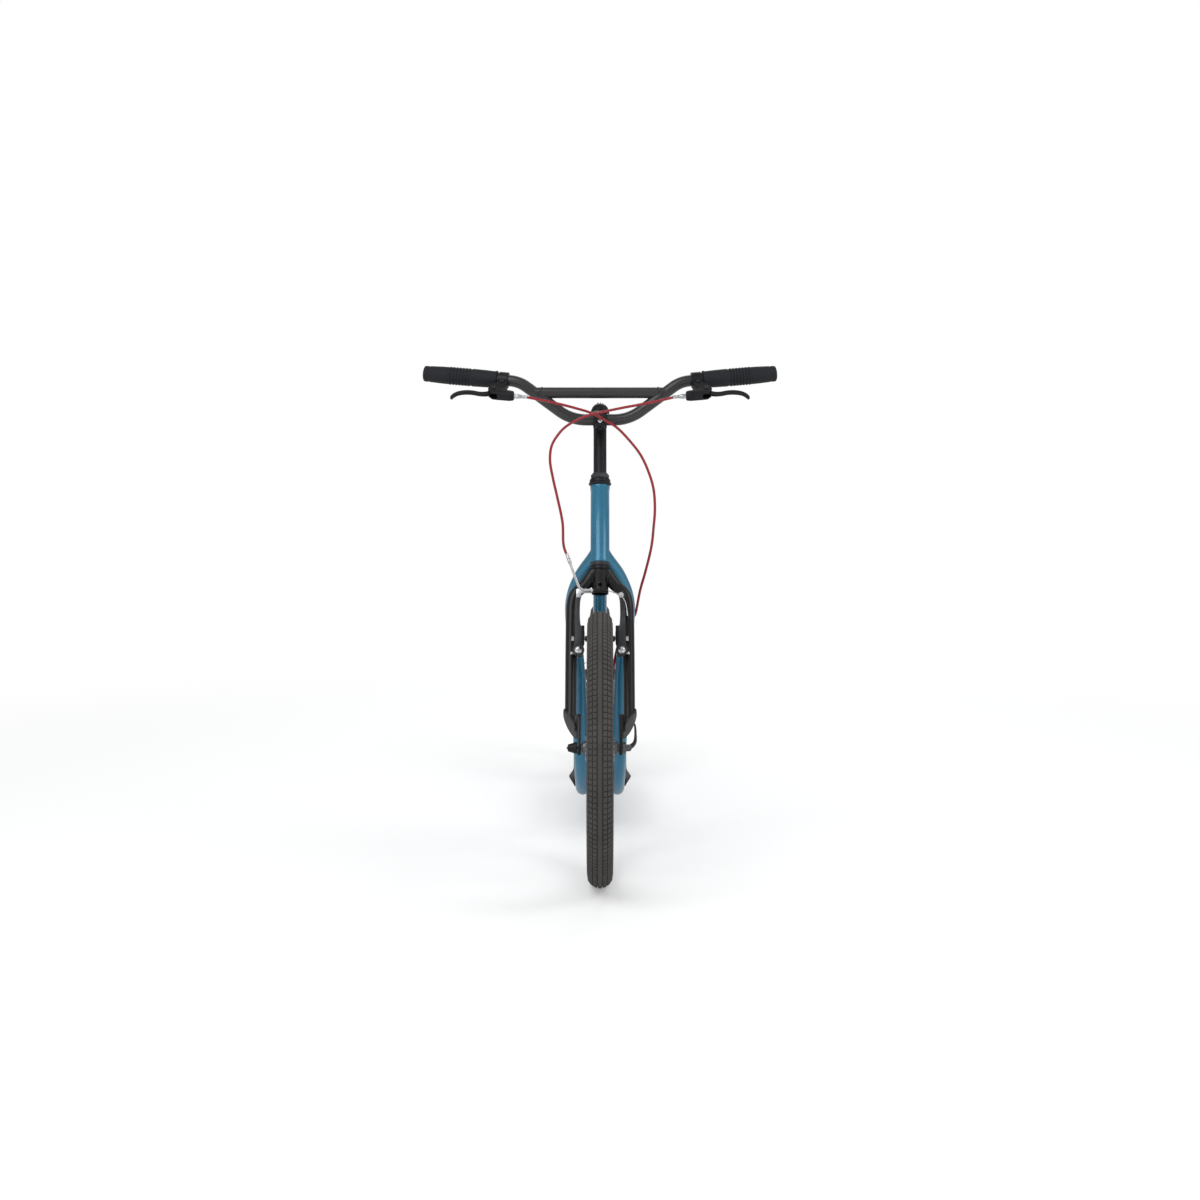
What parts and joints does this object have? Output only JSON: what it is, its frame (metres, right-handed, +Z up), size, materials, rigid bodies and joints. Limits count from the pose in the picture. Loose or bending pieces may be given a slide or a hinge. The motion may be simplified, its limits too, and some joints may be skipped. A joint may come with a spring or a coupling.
{
  "type": "kick bike",
  "caption": "Kick bike with a larger front wheel, low footboard between twin side tubes, high cross-braced handlebar and linear-pull rim brakes.",
  "frame": {"origin": "on the ground under the middle of the bike's box", "axes": "+Z up, -Y the way the bike rides, +X the rider's left"},
  "size_m": [0.68, 1.525, 0.9436],
  "materials": {
    "frame_paint": "gloss",
    "black_paint": "gloss",
    "black_alloy": "black anodised",
    "hub_alloy": "satin",
    "steel": "satin",
    "rubber": "matt",
    "tyre": "matt",
    "board_plastic": "matt",
    "cable_red": "satin"
  },
  "bodies": {
    "frame": {"left_side_tube": "frame_paint", "right_side_tube": "frame_paint", "centre_tube": "frame_paint", "front_bridge": "frame_paint", "rear_bridge": "frame_paint", "left_rear_dropout": "frame_paint", "right_rear_dropout": "frame_paint", "footboard": "board_plastic", "head_tube": "frame_paint", "lower_headset_cup": "black_alloy", "upper_headset_cup": "black_alloy", "rear_axle": "steel", "left_axle_nut": "steel", "right_axle_nut": "steel", "rear_brake_cable_lower": "cable_red"},
    "fork": {"steerer": "black_paint", "left_fork_blade": "black_paint", "right_fork_blade": "black_paint", "crown_race": "black_alloy", "adjusting_race": "black_alloy", "locknut": "black_alloy", "front_axle": "steel", "skewer": "steel", "skewer_nut": "steel"},
    "quick_release": {"quick_release_lever": "steel"},
    "stem": {"stem": "black_alloy", "expander_wedge": "steel", "expander_bolt": "steel", "handlebar": "black_paint", "crossbar": "black_paint", "left_grip": "rubber", "right_grip": "rubber", "left_lever_bracket": "black_alloy", "right_lever_bracket": "black_alloy", "left_cable_adjuster": "steel", "right_cable_adjuster": "steel", "front_brake_cable": "cable_red", "rear_brake_cable_upper": "cable_red"},
    "left_lever": {"left_brake_lever": "black_alloy"},
    "right_lever": {"right_brake_lever": "black_alloy"},
    "front_wheel": {"front_tyre": "tyre", "front_inner_tube": "rubber", "front_rim": "black_alloy", "front_hub": "hub_alloy"},
    "rear_wheel": {"rear_tyre": "tyre", "rear_inner_tube": "rubber", "rear_rim": "black_alloy", "rear_hub": "hub_alloy"},
    "front_right_arm": {"front_right_brake_arm": "black_alloy", "front_right_brake_pad": "rubber", "front_brake_noodle": "steel", "front_brake_boot": "rubber"},
    "front_left_arm": {"front_left_brake_arm": "black_alloy", "front_left_brake_pad": "rubber"},
    "rear_left_arm": {"rear_left_brake_arm": "black_alloy", "rear_left_brake_pad": "rubber", "rear_brake_noodle": "steel", "rear_brake_boot": "rubber"},
    "rear_right_arm": {"rear_right_brake_arm": "black_alloy", "rear_right_brake_pad": "rubber"}
  },
  "joints": [
    {"name": "steering", "type": "hinge", "parent": "frame", "child": "fork", "pos_m": [0, -0.47746, 0.23464], "axis": [0, 0.309, 0.9511], "range_deg": [-50, 50], "deforming": ["rear_brake_cable_upper"]},
    {"name": "stem_height", "type": "slide", "parent": "fork", "child": "stem", "axis": [0, 0.309, 0.9511], "range_m": [-0.04, 0.06], "deforming": ["front_brake_cable", "rear_brake_cable_upper"]},
    {"name": "front_wheel_spin", "type": "hinge", "parent": "fork", "child": "front_wheel", "pos_m": [0, -0.5155, 0.247], "axis": [1, 0, 0], "continuous": true},
    {"name": "rear_wheel_spin", "type": "hinge", "parent": "frame", "child": "rear_wheel", "pos_m": [0, 0.5645, 0.198], "axis": [1, 0, 0], "continuous": true},
    {"name": "left_brake_lever", "type": "hinge", "parent": "stem", "child": "left_lever", "pos_m": [0.20141, -0.35354, 0.89466], "axis": [0.0078, -0.5519, 0.8339], "range_deg": [0, 16], "stiffness_Nm_per_rad": 1.2, "springref_deg": -14.32},
    {"name": "right_brake_lever", "type": "hinge", "parent": "stem", "child": "right_lever", "pos_m": [-0.20141, -0.35354, 0.89466], "axis": [0.0078, 0.5519, -0.8339], "range_deg": [0, 16], "stiffness_Nm_per_rad": 1.2, "springref_deg": -14.32},
    {"name": "front_right_arm", "type": "hinge", "parent": "fork", "child": "front_right_arm", "pos_m": [-0.04, -0.44846, 0.41448], "axis": [0, 0.9511, -0.309], "range_deg": [0, 2.4], "deforming": ["front_brake_cable"]},
    {"name": "front_left_arm", "type": "hinge", "parent": "fork", "child": "front_left_arm", "pos_m": [0.04, -0.44846, 0.41448], "axis": [0, -0.9511, 0.309], "range_deg": [0, 2.4]},
    {"name": "rear_left_arm", "type": "hinge", "parent": "frame", "child": "rear_left_arm", "pos_m": [0.04, 0.44328, 0.24212], "axis": [0, -0.342, -0.9397], "range_deg": [0, 2.4], "deforming": ["rear_brake_cable_lower"]},
    {"name": "rear_right_arm", "type": "hinge", "parent": "frame", "child": "rear_right_arm", "pos_m": [-0.04, 0.44328, 0.24212], "axis": [0, 0.342, 0.9397], "range_deg": [0, 2.4]},
    {"name": "quick_release", "type": "hinge", "parent": "fork", "child": "quick_release", "pos_m": [0.0523, -0.5155, 0.247], "axis": [0, 0.9511, -0.309], "range_deg": [0, 150]}
  ],
  "couplings": [
    {"joint": "front_right_arm", "follows": "left_brake_lever", "ratio": 0.15},
    {"joint": "front_left_arm", "follows": "left_brake_lever", "ratio": 0.15},
    {"joint": "rear_left_arm", "follows": "right_brake_lever", "ratio": 0.15},
    {"joint": "rear_right_arm", "follows": "right_brake_lever", "ratio": 0.15}
  ]
}
